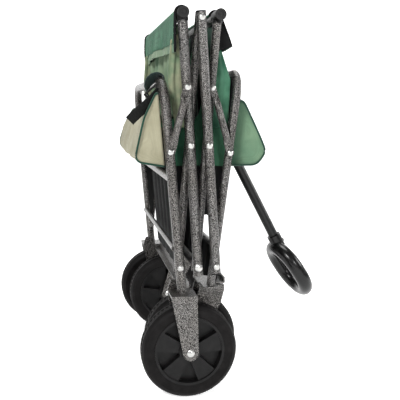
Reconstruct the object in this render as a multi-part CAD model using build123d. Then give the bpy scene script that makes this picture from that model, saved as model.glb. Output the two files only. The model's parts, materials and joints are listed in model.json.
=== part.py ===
"""Folding camp wagon, folded flat and standing upright on its wheels.

X points to the pull-handle end, Y across the wagon (near side is -Y) and Z up.
Each side is a double scissor of four crossing arms between two arched end posts.
All lengths are millimetres and all angles degrees.
"""
import os
from math import atan2, cos, degrees, hypot, radians, sin

from build123d import *

# Scissor linkage, seen from the side. Heights are measured from the lower pivots.
ARM_HALF = 225.6            # lower pivot to the centre pivot of an arm
ARM_TO_LINK = 104.0         # centre pivot to the stay link's pivot
ARM_TO_BAR = 232.0          # centre pivot to the end bar
ARM_TAIL = 12.0             # arm below its lower pivot
LONG_TAIL = 16.0            # the same, on the rear falling arms
ARM_HEAD = 9.0              # arm above its top pivot
FOLD_ANGLE = 4.3            # arm angle from vertical when folded
OPEN_ANGLE = 53.0           # arm angle from vertical when open
LEAN_REAR = 5.5             # outward lean of the rear posts
LEAN_FRONT = 7.0            # outward lean of the front posts
REAR_POST_LINK = 214.8      # lower pivot to the stay link's pivot, along a post
FRONT_POST_LINK = 212.5
REAR_ARCH = 340.0           # lower pivot to the rear arch's centre line, along a post
FRONT_ARCH = 360.0
REAR_FOOT = 48.0            # lower pivot down to the rear fork's top plate
FRONT_FOOT = 42.0           # lower pivot down to the caster's head
ARCH_BEND = 48.0

# Layers across the width, as distances from the middle plane.
OUTER_Y = 232.5             # posts and arms of the outer layer
INNER_Y = 212.0             # arms and posts of the inner layer
PANEL_Y = (198.0, 191.0)    # side fabric layers

# Stock sizes.
OUTER_R = 9.0
INNER_R = 7.75
TUBE_WALL = 1.4
CENTRE_R = 8.0
BAR_R = 8.5
SOCKET_R = 10.2             # plastic sockets on the end bars
SOCKET_NECK = 3.0
SOCKET_HALF = 14.0          # socket's reach toward the middle of the bar
CAP = 4.0                   # closed end of a socket
CAP_RECESS = (6.0, 2.0)     # radius and depth
CAP_BOSS_R = 3.0
PLUG = (4.0, 2.5)           # end plug: depth in the tube and head
LINK_R = 6.5
LINK_PLATE = 4.0
LINK_EYES = (8.0, 8.0, 7.0, 5.8)  # flat ends' half widths: rear low and high, front low and high
LINK_FLAT = 22.0            # flat end's length from its pivot
LINK_NECK = (8.0, 14.0)     # round part's start past the flat, and the press's run
PIN_R = 4.0
PIN_PLAY = 0.2
EYE_PLAY = 0.08
HEAD_R = 5.5
BIG_HEAD_R = 7.0
HEAD_RISE = 2.6
GAP = 0.5

# Wheels, forks and casters.
WHEEL_R = 90.0
TYRE_INNER_R = 66.0
TYRE_WIDTH = 42.0
RIM_WIDTH = 36.0
HUB_R = 15.0
HUB_WIDTH = 48.0
SPOKES = 5
SPOKE_START = 16.0
SPOKE_ROOT = 17.0
SPOKE_TIP = 38.0
SPOKE_ROUND = 3.0           # how far a spoke's tip bulges
SPOKE_SET = 2.5             # spokes' faces inside the rim's
RIM_LIP = 5.0
WEB_HALF = 3.0
HUB_FLANGE = (5.0, 2.0)     # wider than the hub, longer than the rim
TYRE_BEAD = 4.0             # inner edge, in from the side faces
TYRE_SIDE = 9.0             # side faces end this far below the tread
TYRE_SHOULDER = (3.5, 10.0)  # bevel's middle, and the tread's edge in from the side faces
TREAD_RIBS = 60
TREAD_RIB = (0.4, 3.6, 0.5)  # rib below the tread, its width and its end clearance
TREAD_DEPTH = 1.6
TREAD_HALF = 6.0            # half width of the middle groove
AXLE_R = 5.0
AXLE_PLAY = 0.08
AXLE_DROP = 157.5           # lower pivot down to the rear axle, along the post
AXLE_SET = 2.5              # rear axle forward of the post's line
FORK_HALF = 28.0            # middle of the wheel to the outside of a fork plate
FORK_PLATE = 3.0
FORK_TOP = 48.0
FORK_TIP_R = 14.5
GUSSET = (6.0, 22.0, 30.0, 18.0)  # gusset on the fork's top plate: three X steps and its height
CASTER_Y = 158.5            # middle of a front wheel
CASTER_AXLE_X = 33.0
CASTER_STEM_X = 80.0
CASTER_HEAD = (44.0, 97.0)  # head plate along X
HEAD_TONGUE = (48.0, 76.0)  # its tongue under the post, along X
HEAD_PLATE = 3.0
HEAD_LIP = 9.0
CROWN_SET = (4.0, 1.0)      # fork crown inside the head plate's two ends
BROW = (7.0, 8.0, 36.0)     # fork side's front edge: set back, upper and lower drop
CASTER_GAP = 3.0
STEM_R = 8.0
STEM_RISE = 12.0
STEM_WASHER = 6.0           # wider than the stem
TONGUE_SPARE = 2.0          # tongue past the post's inner face
STEM_REST = 0.3             # stem's step that keeps the washer off the crown

# Frame cross members, as heights along the posts.
REAR_CROSSES = ((165.0, 8.0, 0.0), (36.0, 5.0, -7.5))   # height, radius and offset from the posts
FRONT_CROSSES = ((262.0, 8.0, 0.0), (30.0, 8.0, 0.0))
CROSS_COPE = 40.0           # length of leg that a cross tube is coped round
BEAM_AT = (11.0, -60.0)     # outer lower edge of the rear axle beam, X and Z
BEAM = (14.0, 24.0, 3.0)    # its flange, web and thickness

# Soft parts.
WALL = 3.0
WALL_Y = 176.0
REAR_WALL = (-28.0, 252.0)  # foot and top, along the post
FRONT_WALL = (84.0, 275.0)
WALL_SET = 9.5              # walls stand this far inside the end frames
POUCH_GAP = 1.5             # pouch clear of the posts
REAR_POUCH_Y = 226.0
REAR_POUCH = (316.0, 186.0)  # top and foot, along the post
REAR_POUCH_LIP = 10.0
REAR_POUCH_SAG = (-62.0, 46.0)  # outer face's bend: X and drop from the top
REAR_POUCH_CORNER = ((-77.0, 203.0), (-72.0, 192.0))
REAR_POUCH_LOW = 184.0
FRONT_POUCH_Y = 200.0
FRONT_POUCH = (308.0, 186.0)
FRONT_POUCH_LIP = 10.5
FRONT_POUCH_OUTER = ((158.0, 236.0), (169.0, 214.0), (154.0, 186.0))
CHANNEL_Y = 26.0            # half width of the front pouch's channel for the pole
CHANNEL_GAP = 3.0           # channel's floor clear of the pole
CHANNEL_RUN = (-60.0, 160.0)  # along the pole, from its pivot
CHANNEL_DEPTH = 90.0
BRACKET_POCKET = (20.0, 60.0, 20.0, 62.0)  # pocket round the clevis: back, front, up and down
SIDE_REACH = (270.0, 430.0, 420.0)  # side panels' reach: at a post, at a long arm, on the middle panel
SIDE_START = (30.0, 40.0, 50.0)  # where they start: rear, middle and front
SIDE_SET = (3.5, 2.0)       # panel edge's angle from the rear and the front post
FLAP_DROP = 60.0
FLAP_TOP = 4.0
FLARE_RISE = (10.0, 9.0)    # front flap's outer corners above the rear flap's foot
FLAP_SET = 2.0              # flap clear of the bar
REAR_FLAP_Y = 228.0
FRONT_FLAP_Y = 197.0
FRONT_FLARE = 17.0
STRAP_Y = (150.0, 175.0)
STRAP = (0.4, 2.4, 18.0)    # loop's inner and outer gap to the tube, and its drop
STRAP_THICK = 2.0
BUCKLE = (5.2, 5.5, 4.0)    # height, thickness and overhang beside the strap
BUCKLE_SET = (1.0, 0.2)     # over the strap's face, and below its end
BOARD = (288.0, 172.0, 5.0)  # floor board: length, half width, thickness
BOARD_HINGE = 15.0          # height of the boards' hinge line
BOARD_START = 4.0           # board's edge from that line
BOARD_GAP = 1.0             # board's face from that line
KNUCKLE_R = 2.5
KNUCKLES = 6                # shared between the two boards
KNUCKLE_GAP = 0.5
KNUCKLE_STEP = 1.0          # leaf's corner below the board's edge

# Pull handle, hanging forward of the front frame.
HANDLE_LEAN = 28.3
HANDLE_SET = 19.4           # pivot forward of the upper cross tube
POLE_START = 14.0           # pivot to the end of the outer pole
INNER_START = 38.0          # pivot to the end of the sliding pole
EYE_HALF = 8.5
POLE_R = 10.5
POLE_WALL = 1.6
POLE_LENGTH = 284.0
INNER_POLE_R = 8.5
COLLAR = (15.0, 30.0)       # radius and length
COLLAR_GAP = 1.0            # sliding collar clear of the outer pole
COLLAR_SOCKET = 12.0
GRIP_LOOP = (132.0, 148.0)  # outside width and length
GRIP_R = 16.0
GRIP_SET = 7.0              # loop behind the pole's line
GRIP_TILT = 5.5             # loop leans out from the pole's line
GRIP_TURN = -7.0            # and is turned about it
BUTTON_R = 4.0
BUTTON = (21.0, 3.0, 5.2)   # place along the collar, depth in it and length
BUTTON_BORE = (5.0, 6.0)    # its pocket: start behind the axis, and length past the collar
BRACKET_EAR = (0.5, 3.5)    # clevis ear's faces, outside the pole
EAR_HALF = 10.0             # half height of an ear
EAR_STEP = (2.0, 3.0, 10.0)  # its back edge from the tube, its shoulder and its nose from the pin

NEAR, FAR = -1, 1
SIDES = (NEAR, FAR)


def lean(angle, length, start=(0.0, 0.0)):
    """Point at a distance from start, tilted forward from vertical."""
    return start[0] + length * sin(radians(angle)), start[1] + length * cos(radians(angle))


P_REAR = (0.0, 0.0)
P_MIDDLE = (2 * ARM_HALF * sin(radians(FOLD_ANGLE)), 0.0)
P_FRONT = (4 * ARM_HALF * sin(radians(FOLD_ANGLE)), 0.0)
CENTRE_REAR = lean(FOLD_ANGLE, ARM_HALF, P_REAR)
CENTRE_FRONT = lean(FOLD_ANGLE, ARM_HALF, P_MIDDLE)
TOP_MIDDLE = lean(FOLD_ANGLE, 2 * ARM_HALF, P_REAR)
BAR_REAR = lean(-FOLD_ANGLE, ARM_TO_BAR, CENTRE_REAR)
BAR_FRONT = lean(FOLD_ANGLE, ARM_TO_BAR, CENTRE_FRONT)
LINK_REAR_LOW = lean(-LEAN_REAR, REAR_POST_LINK, P_REAR)
LINK_REAR_HIGH = lean(-FOLD_ANGLE, ARM_TO_LINK, CENTRE_REAR)
LINK_FRONT_LOW = lean(LEAN_FRONT, FRONT_POST_LINK, P_FRONT)
LINK_FRONT_HIGH = lean(FOLD_ANGLE, ARM_TO_LINK, CENTRE_FRONT)
AXLE_REAR = lean(-LEAN_REAR, -AXLE_DROP, (AXLE_SET, 0.0))
AXLE_FRONT = (CASTER_AXLE_X, AXLE_REAR[1])
HANDLE_PIVOT = lean(LEAN_FRONT, FRONT_CROSSES[0][0], (P_FRONT[0] + HANDLE_SET, 0.0))
FLOOR_Z = AXLE_REAR[1] - WHEEL_R
FRONT_FOOT_Z = lean(LEAN_FRONT, -FRONT_FOOT, P_FRONT)[1]
CROWN_Z = FRONT_FOOT_Z - 1.0 - HEAD_PLATE - CASTER_GAP - STEM_REST

OUTER_FACE = OUTER_Y + OUTER_R
INNER_FACE = INNER_Y + INNER_R
REAR_LINK_Y = OUTER_FACE + GAP
FRONT_LINK_Y = INNER_FACE + GAP

BASE = (Align.CENTER, Align.CENTER, Align.MIN)

nodes = {}


def at(point, y):
    """Space position of a side-view point."""
    return Vector(point[0], y, point[1])


def rod(start, end, radius):
    """Solid round bar between two space points."""
    run = Vector(end) - Vector(start)
    return extrude(Plane(origin=start, z_dir=run) * Circle(radius), run.length)


def pipe(start, end, radius, wall=TUBE_WALL):
    """Round tube between two space points."""
    run = Vector(end) - Vector(start)
    ring = Circle(radius) - Circle(radius - wall)
    return extrude(Plane(origin=start, z_dir=run) * ring, run.length)


def cross_rod(point, y_from, y_to, radius):
    """Solid round bar across the wagon."""
    return rod(at(point, y_from), at(point, y_to), radius)


def side_plate(outline, y_from, y_to):
    """Plate with a side-view outline, between two distances across the wagon."""
    wire = Polyline(*[(x, z) for x, z in outline], close=True)
    low, high = sorted((y_from, y_to))
    sheet = Plane(origin=(0, low, 0), x_dir=(1, 0, 0), z_dir=(0, -1, 0)) * make_face(wire)
    return extrude(sheet, -(high - low))


def dome(point, y, side, radius=HEAD_R):
    """Domed rivet head standing out of a face, outward to one side."""
    ball_r = (radius ** 2 + HEAD_RISE ** 2) / (2 * HEAD_RISE)
    ball = Pos(*at(point, side * (y + HEAD_RISE - ball_r))) * Sphere(ball_r)
    return ball & cross_rod(point, side * y, side * (y + HEAD_RISE), radius)


def pin(point, y_in, y_out, side, head=HEAD_R):
    """Rivet across a joint: a shank and one domed head."""
    return cross_rod(point, side * y_in, side * y_out, PIN_R) + dome(point, y_out, side, head)


def group(shapes):
    return Compound(children=[part for shape in shapes for part in shape.solids()])


def mirrored(make):
    """The same piece on the near and the far side, as one group of solids."""
    return group([make(side) for side in SIDES])


def drill(shape, point, y_from, y_to, side, radius):
    return shape - cross_rod(point, side * y_from, side * y_to, radius)


def arm(foot, angle, top, y, radius, fixed, running, tail=ARM_TAIL):
    """Scissor arms of both sides: tubes with pin holes."""
    def make(side):
        low = lean(angle, -tail, foot)
        high = lean(angle, top, foot)
        shape = pipe(at(low, side * y), at(high, side * y), radius)
        for point in fixed:
            shape = drill(shape, point, y - 2 * radius, y + 2 * radius, side, PIN_R)
        for point in running:
            shape = drill(shape, point, y - 2 * radius, y + 2 * radius, side, PIN_R + PIN_PLAY)
        return shape
    return mirrored(make)


def plugs(foot, angle, top, y, radius):
    """Plastic end plugs in an arm's open ends."""
    def make(side):
        depth, head = PLUG
        made = []
        for direction, length in ((1, top), (-1, -ARM_TAIL)):
            face = at(lean(angle, length, foot), side * y)
            inner = at(lean(angle, length - direction * depth, foot), side * y)
            outer = at(lean(angle, length + direction * head, foot), side * y)
            made.append(rod(inner, face, radius - TUBE_WALL) + rod(face, outer, radius))
        return group(made)
    return mirrored(make)


def arch(foot, angle, bottom, top, y, radius, running):
    """Inverted U of tube: two leaning legs joined by a bar over the top."""
    low, high = lean(angle, -bottom, foot), lean(angle, top, foot)
    path = FilletPolyline(at(low, -y), at(high, -y), at(high, y), at(low, y), radius=ARCH_BEND)
    section = Plane(origin=at(low, -y), z_dir=path % 0) * (Circle(radius) - Circle(radius - TUBE_WALL))
    shape = sweep(section, path)
    for point in running:
        for side in SIDES:
            shape = drill(shape, point, y - 2 * radius, y + 2 * radius, side, PIN_R + PIN_PLAY)
    return shape


def cross_tubes(foot, angle, sizes, y, leg_r):
    """Tubes across an end frame, coped round its legs."""
    made = []
    for height, radius, offset in sizes:
        place = lean(angle, height, (foot[0] + offset, foot[1]))
        shape = pipe(at(place, -y), at(place, y), radius)
        for side in SIDES:
            shape = shape - rod(at(lean(angle, height - CROSS_COPE, foot), side * y),
                                at(lean(angle, height + CROSS_COPE, foot), side * y), leg_r)
        made.append(max(shape.solids(), key=lambda solid: solid.volume))
    return group(made)


def fork_plate(axle, top_left, top_right, y_in, y_out):
    """Tapered fork side with a round tip about the axle."""
    tangents = []
    for corner, turn in ((top_right, 1), (top_left, -1)):
        dx, dz = axle[0] - corner[0], axle[1] - corner[1]
        run = (dx ** 2 + dz ** 2 - FORK_TIP_R ** 2) ** 0.5
        heading = atan2(dz, dx) + turn * atan2(FORK_TIP_R, run)
        tangents.append((corner[0] + run * cos(heading), corner[1] + run * sin(heading)))
    plate = side_plate([top_left, top_right, tangents[0], axle, tangents[1]], y_in, y_out)
    tip = cross_rod(axle, y_in, y_out, FORK_TIP_R)
    hole = cross_rod(axle, y_in, y_out, AXLE_R)
    return (plate + tip) - hole


def rear_fork(side):
    """U-shaped fork welded under a rear post, with a gusset on its top plate."""
    x, top = lean(-LEAN_REAR, -REAR_FOOT, P_REAR)
    left, right, low = x - FORK_TOP / 2, x + FORK_TOP / 2, top - FORK_PLATE
    inner, outer = OUTER_Y - FORK_HALF, OUTER_Y + FORK_HALF
    shape = side_plate([(left, low), (right, low), (right, top), (left, top)], side * inner, side * outer)
    for y_in, y_out in ((inner, inner + FORK_PLATE), (outer - FORK_PLATE, outer)):
        shape = shape + fork_plate(AXLE_REAR, (left, low), (right, low), side * y_in, side * y_out)
    step_a, step_b, step_c, rise = GUSSET
    gusset = [(left, top), (left + step_a, top + rise), (left + step_b, top + rise), (left + step_c, top)]
    shape = shape + side_plate(gusset, side * inner, side * (inner + FORK_PLATE))
    post = rod(at((x, top), side * OUTER_Y), at(lean(-LEAN_REAR, 0, P_REAR), side * OUTER_Y), OUTER_R)
    return shape - post


def axle_beam():
    """Angle-iron beam between the two rear forks."""
    x, z = BEAM_AT
    flange, web, thick = BEAM
    outline = [(x, z), (x + flange, z), (x + flange, z + web), (x + flange - thick, z + web),
               (x + flange - thick, z + thick), (x, z + thick)]
    return side_plate(outline, FORK_HALF - OUTER_Y, OUTER_Y - FORK_HALF)


def axle(point, y, side):
    """Axle rod with a domed head each side of the fork."""
    inner, outer = y - FORK_HALF, y + FORK_HALF
    shape = cross_rod(point, side * inner, side * outer, AXLE_R)
    shape = shape + dome(point, outer, side, BIG_HEAD_R)
    return shape + dome(point, -inner, -side, BIG_HEAD_R)


def tyre(point, y):
    """Solid tyre with rounded shoulders and cross ribs in its middle groove."""
    half = TYRE_WIDTH / 2
    bevel, edge = TYRE_SHOULDER
    outline = [(TYRE_INNER_R, half - TYRE_BEAD), (WHEEL_R - TYRE_SIDE, half),
               (WHEEL_R - bevel, half - bevel), (WHEEL_R, half - edge),
               (WHEEL_R, TREAD_HALF + TREAD_DEPTH), (WHEEL_R - TREAD_DEPTH, TREAD_HALF)]
    with BuildSketch(Plane.XZ) as profile:
        with BuildLine():
            Polyline(*outline, *[(radius, -across) for radius, across in reversed(outline)], close=True)
        make_face()
    ring = revolve(profile.sketch, Axis.Z)
    below, width, spare = TREAD_RIB
    rib = Pos(WHEEL_R - TREAD_DEPTH, 0, 0) * Box(2 * TREAD_DEPTH - below, width, 2 * TREAD_HALF - spare)
    ribs = [Rot(0, 0, 360.0 * index / TREAD_RIBS) * rib for index in range(TREAD_RIBS)]
    shape = ring.fuse(*ribs)
    return Pos(point[0], y, point[1]) * (Rot(90, 0, 0) * shape)


def rim(point, y, turn):
    """Moulded wheel centre: hub, thin web, five broad spokes a side and a rim."""
    half = RIM_WIDTH / 2
    band = Cylinder(TYRE_INNER_R, RIM_WIDTH) - Cylinder(TYRE_INNER_R - RIM_LIP, RIM_WIDTH)
    reach = TYRE_INNER_R - RIM_LIP / 2
    web = Cylinder(reach, 2 * WEB_HALF)
    wider, longer = HUB_FLANGE
    hub = Cylinder(HUB_R, HUB_WIDTH) + Cylinder(HUB_R + wider, RIM_WIDTH + longer)
    paddle = make_face(Polyline((HUB_R, -SPOKE_ROOT / 2), (reach - SPOKE_ROUND, -SPOKE_TIP / 2), (reach, 0),
                                (reach - SPOKE_ROUND, SPOKE_TIP / 2), (HUB_R, SPOKE_ROOT / 2), close=True))
    spoke = Pos(0, 0, -half + SPOKE_SET) * extrude(paddle, RIM_WIDTH - 2 * SPOKE_SET)
    spokes = [Rot(0, 0, SPOKE_START + turn + 360.0 * index / SPOKES) * spoke for index in range(SPOKES)]
    shape = (band + web + hub).fuse(*spokes)
    shape = shape - Cylinder(AXLE_R + AXLE_PLAY, HUB_WIDTH + longer)
    return Pos(point[0], y, point[1]) * (Rot(90, 0, 0) * shape)


def caster_head(side):
    """Plate under a front post that carries the caster's stem."""
    top, foot = FRONT_FOOT_Z - 1.0, FRONT_FOOT_Z - 1.0 - HEAD_PLATE
    low, high = CASTER_HEAD
    y_in, y_out = CASTER_Y - FORK_HALF, CASTER_Y + FORK_HALF
    outline = [(low, foot), (high, foot), (high, top + HEAD_LIP), (high - HEAD_PLATE, top + HEAD_LIP),
               (high - HEAD_PLATE, top), (low, top)]
    shape = side_plate(outline, side * y_in, side * y_out)
    low, high = HEAD_TONGUE
    shape = shape + side_plate([(low, foot), (high, foot), (high, top), (low, top)],
                               side * y_in, side * (INNER_FACE + TONGUE_SPARE))
    place = Pos(CASTER_STEM_X, side * CASTER_Y, 0)
    stem = Pos(0, 0, top) * Cylinder(STEM_R, STEM_RISE, align=BASE)
    stem = stem + Pos(0, 0, top + STEM_RISE) * Sphere(STEM_R)
    stem = stem + Pos(0, 0, foot - STEM_REST) * Cylinder(STEM_R, STEM_REST, align=BASE)
    washer = Cylinder(STEM_R + STEM_WASHER, CASTER_GAP - STEM_REST, align=BASE)
    return shape + place * stem + place * Pos(0, 0, foot - CASTER_GAP) * washer


def caster_fork(side):
    """Trailing fork that turns under the caster head."""
    low, high = CASTER_HEAD[0] + CROWN_SET[0], CASTER_HEAD[1] - CROWN_SET[1]
    top, foot = CROWN_Z, CROWN_Z - FORK_PLATE
    back, upper, lower = BROW
    chin = (high - back, foot - lower)
    inner, outer = CASTER_Y - FORK_HALF, CASTER_Y + FORK_HALF
    crown = side_plate([(low, foot), (high, foot), (high, top), (low, top)], side * inner, side * outer)
    for y_in, y_out in ((inner, inner + FORK_PLATE), (outer - FORK_PLATE, outer)):
        leg = fork_plate(AXLE_FRONT, (low, foot), chin, side * y_in, side * y_out)
        brow = side_plate([(low, foot), (high, foot), (high, foot - upper), chin], side * y_in, side * y_out)
        crown = crown + leg + brow
    return crown


def link(low, high, y, low_r, high_r):
    """Stay links of both sides: round in the middle, pressed flat at the pivots."""
    run = hypot(high[0] - low[0], high[1] - low[1])
    angle = degrees(atan2(high[0] - low[0], high[1] - low[1]))
    def make(side):
        body = Plane(origin=at(low, side * y), x_dir=at(lean(angle, 1.0), 0), z_dir=(0, side, 0))
        start, end = LINK_FLAT, run - LINK_FLAT
        gap, step = LINK_NECK
        ends = extrude(Pos(start / 2, 0) * Rectangle(start, 2 * low_r) + Circle(low_r), LINK_PLATE)
        ends = ends + extrude(Pos(end + (run - end) / 2, 0) * Rectangle(run - end, 2 * high_r)
                              + Pos(run, 0) * Circle(high_r), LINK_PLATE)
        round_part = Plane(origin=(start + gap, 0, LINK_R), z_dir=(1, 0, 0)) * Circle(LINK_R)
        middle = extrude(round_part, end - start - 2 * gap)
        for place, size, move in ((start + gap, low_r, -step), (end - gap, high_r, step)):
            ring = Plane(origin=(place, 0, LINK_R), x_dir=(0, 1, 0), z_dir=(1, 0, 0))
            flat = Plane(origin=(place + move, 0, LINK_PLATE / 2), x_dir=(0, 1, 0), z_dir=(1, 0, 0))
            neck = [ring * Circle(LINK_R), flat * Rectangle(2 * size, LINK_PLATE)]
            middle = middle + loft(Sketch() + neck)
        return body * (ends + middle)
    return mirrored(make)


def panel(apex, from_angle, to_angle, reach_from, reach_to, start, y):
    """Thin side panel of fabric: a wedge between two tubes that share a pivot."""
    outline = [lean(from_angle, start, apex), lean(from_angle, reach_from, apex),
               lean(to_angle, reach_to, apex), lean(to_angle, start, apex)]
    return mirrored(lambda side: side_plate(outline, side * y, side * (y - WALL)))


def leaning_slab(foot, angle, low, high, back, front, half):
    """Slab in an end frame's plane, between two offsets from that plane."""
    outline = []
    for height, offset in ((low, back), (high, back), (high, front), (low, front)):
        x, z = lean(angle, height, foot)
        outline.append((x + offset, z))
    return side_plate(outline, -half, half)


def rear_pouch():
    """Wedge-shaped pouch hanging outside the rear arch."""
    top, foot = REAR_POUCH
    x, z = lean(-LEAN_REAR, top, P_REAR)
    face = OUTER_R + POUCH_GAP
    bend_x, bend_drop = REAR_POUCH_SAG
    outline = [(x - face, z), (x - face - REAR_POUCH_LIP, z), (bend_x, z - bend_drop), *REAR_POUCH_CORNER,
               (lean(-LEAN_REAR, foot, P_REAR)[0] - face, REAR_POUCH_LOW)]
    return side_plate(outline, -REAR_POUCH_Y, REAR_POUCH_Y)


def front_pouch():
    """Wedge-shaped pouch outside the front arch, pressed in behind the handle."""
    top, foot = FRONT_POUCH
    x, z = lean(LEAN_FRONT, top, P_FRONT)
    face = INNER_R + POUCH_GAP
    foot_x = lean(LEAN_FRONT, foot, P_FRONT)[0] + face
    outline = [(x + face, z), (x + face + FRONT_POUCH_LIP, z), *FRONT_POUCH_OUTER, (foot_x, foot)]
    shape = side_plate(outline, -FRONT_POUCH_Y, FRONT_POUCH_Y)
    behind = lean(90.0 - HANDLE_LEAN, -POLE_R - CHANNEL_GAP, HANDLE_PIVOT)
    line = [lean(180.0 - HANDLE_LEAN, along, behind) for along in CHANNEL_RUN]
    line.extend([(point[0] + CHANNEL_DEPTH, point[1]) for point in reversed(line)])
    back, front, up, down = BRACKET_POCKET
    pocket = [(x - back, z + up), (x + front, z + up), (x + front, z - down), (x - back, z - down)]
    for outline in (line, pocket):
        shape = shape - side_plate(outline, -CHANNEL_Y, CHANNEL_Y)
    return shape


def floor_board(direction):
    """Stiff floor board, folded up against its neighbour, with its share of the hinge knuckles."""
    length, half, thick = BOARD
    near_x, far_x = P_MIDDLE[0] + direction * BOARD_GAP, P_MIDDLE[0] + direction * (BOARD_GAP + thick)
    foot = BOARD_HINGE + BOARD_START
    shape = side_plate([(near_x, foot), (far_x, foot), (far_x, foot + length), (near_x, foot + length)],
                       -half, half)
    pitch = 2 * half / KNUCKLES
    for index in range(0 if direction < 0 else 1, KNUCKLES, 2):
        y_from, y_to = -half + index * pitch + KNUCKLE_GAP, -half + (index + 1) * pitch - KNUCKLE_GAP
        shape = shape + cross_rod((P_MIDDLE[0], BOARD_HINGE), y_from, y_to, KNUCKLE_R)
        leaf = [(P_MIDDLE[0], BOARD_HINGE), (far_x, foot - KNUCKLE_STEP), (far_x, foot), (near_x, foot),
                (P_MIDDLE[0], BOARD_HINGE + KNUCKLE_R)]
        shape = shape + side_plate(leaf, y_from, y_to)
    return shape


def handle_plane():
    """Handle frame: origin at its pivot, Z down the pole, Y across the wagon."""
    down = Vector(sin(radians(HANDLE_LEAN)), 0, -cos(radians(HANDLE_LEAN)))
    return Plane(origin=at(HANDLE_PIVOT, 0), x_dir=down.cross(Vector(0, 1, 0)), z_dir=down)


def tube_piece(radius, start, end):
    """Length of pole along the handle's own axis."""
    bore = Cylinder(radius - POLE_WALL, end - start, align=BASE)
    return Pos(0, 0, start) * (Cylinder(radius, end - start, align=BASE) - bore)


def handle_pole():
    """Outer pole with a plugged eye round the pivot pin."""
    eye = Rot(90, 0, 0) * Cylinder(POLE_R, 2 * EYE_HALF)
    eye = eye + Cylinder(POLE_R - POLE_WALL, 2 * POLE_START, align=BASE)
    eye = eye - Rot(90, 0, 0) * Cylinder(PIN_R + EYE_PLAY, 4 * POLE_R)
    return tube_piece(POLE_R, POLE_START, POLE_LENGTH) + eye


def handle_grip():
    """Collar and oval loop of the grip, with a pocket for its button; returns both pieces."""
    collar_r, collar_length = COLLAR
    collar_z = POLE_LENGTH + COLLAR_GAP
    width, length = GRIP_LOOP
    hang = Pos(-GRIP_SET, 0, collar_z + collar_length) * Rot(0, 0, GRIP_TURN) * Rot(0, GRIP_TILT, 0)
    ring = Plane(origin=(0, 0, length / 2 - GRIP_R), x_dir=(0, 0, 1), z_dir=(1, 0, 0))
    path = ring * SlotOverall(length - 2 * GRIP_R, width - 2 * GRIP_R).wire()
    loop = sweep(Plane(origin=path @ 0, z_dir=path % 0) * Circle(GRIP_R), path)
    grip = Pos(0, 0, collar_z) * Cylinder(collar_r, collar_length, align=BASE) + hang * loop
    grip = grip - Pos(0, 0, collar_z) * Cylinder(INNER_POLE_R, COLLAR_SOCKET, align=BASE)
    along, depth, button_length = BUTTON
    place = Pos(0, 0, collar_z + along) * Rot(0, 90, 0)
    behind, past = BUTTON_BORE
    hollow = place * Pos(0, 0, -behind) * Cylinder(BUTTON_R + PIN_PLAY, collar_r + past, align=BASE)
    button = place * Pos(0, 0, collar_r - depth) * Cylinder(BUTTON_R, button_length, align=BASE)
    return grip - hollow, button


def handle_bracket():
    """Clevis on the front upper cross tube, with a hole for the handle's pin."""
    height, tube_r, _ = FRONT_CROSSES[0]
    tube = lean(LEAN_FRONT, height, P_FRONT)
    near, far = BRACKET_EAR
    back, shoulder, nose = EAR_STEP
    x, z = HANDLE_PIVOT
    outline = [(tube[0] + back, z + EAR_HALF), (x + shoulder, z + EAR_HALF), (x + nose, z),
               (x + shoulder, z - EAR_HALF), (tube[0] + back, z - EAR_HALF)]
    ears = []
    for side in SIDES:
        ear = side_plate(outline, side * (POLE_R + near), side * (POLE_R + far))
        ear = ear - cross_rod(tube, -2 * CHANNEL_Y, 2 * CHANNEL_Y, tube_r)
        ears.append(ear - cross_rod(HANDLE_PIVOT, -CHANNEL_Y, CHANNEL_Y, PIN_R))
    return group(ears)


def strap():
    """Webbing loop over the rear arch, hanging a little below it."""
    x, z = lean(-LEAN_REAR, REAR_ARCH, P_REAR)
    low, high = STRAP_Y
    inner, outer, drop = STRAP
    around = cross_rod((x, z), -high, -low, OUTER_R + outer) - cross_rod((x, z), -high, -low, OUTER_R + inner)
    hang_x = x - OUTER_R - outer
    outline = [(hang_x, z), (hang_x - STRAP_THICK, z), (hang_x - STRAP_THICK, z - drop), (hang_x, z - drop)]
    return around + side_plate(outline, -high, -low)


def buckle():
    """Plastic buckle under the strap's loop."""
    x, z = lean(-LEAN_REAR, REAR_ARCH, P_REAR)
    low, high = STRAP_Y
    height, thick, spare = BUCKLE
    over, below = BUCKLE_SET
    right = x - OUTER_R - STRAP[1] + over
    top = z - STRAP[2] - below
    outline = [(right, top), (right - thick, top), (right - thick, top - height), (right, top - height)]
    return side_plate(outline, -high - spare, -low + spare)


def build_root():
    frame = arch(P_REAR, -LEAN_REAR, REAR_FOOT, REAR_ARCH, OUTER_Y, OUTER_R, [LINK_REAR_LOW])
    for side in SIDES:
        frame = drill(frame, P_REAR, OUTER_Y - 2 * OUTER_R, OUTER_Y + 2 * OUTER_R, side, PIN_R)
    nodes["rear_arch"] = frame
    nodes["rear_cross_tubes"] = cross_tubes(P_REAR, -LEAN_REAR, REAR_CROSSES, OUTER_Y, OUTER_R)
    nodes["rear_axle_beam"] = axle_beam()
    nodes["rear_forks"] = mirrored(rear_fork)
    nodes["rear_axles"] = mirrored(lambda side: axle(AXLE_REAR, OUTER_Y, side))
    nodes["rear_pivot_rivets"] = mirrored(lambda side: pin(P_REAR, INNER_Y - INNER_R, OUTER_FACE, side))
    nodes["rear_wall"] = leaning_slab(P_REAR, -LEAN_REAR, *REAR_WALL, WALL_SET, WALL_SET + WALL, WALL_Y)
    nodes["rear_pouch"] = rear_pouch()
    nodes["rear_strap"] = strap()
    nodes["rear_buckle"] = buckle()


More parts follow.
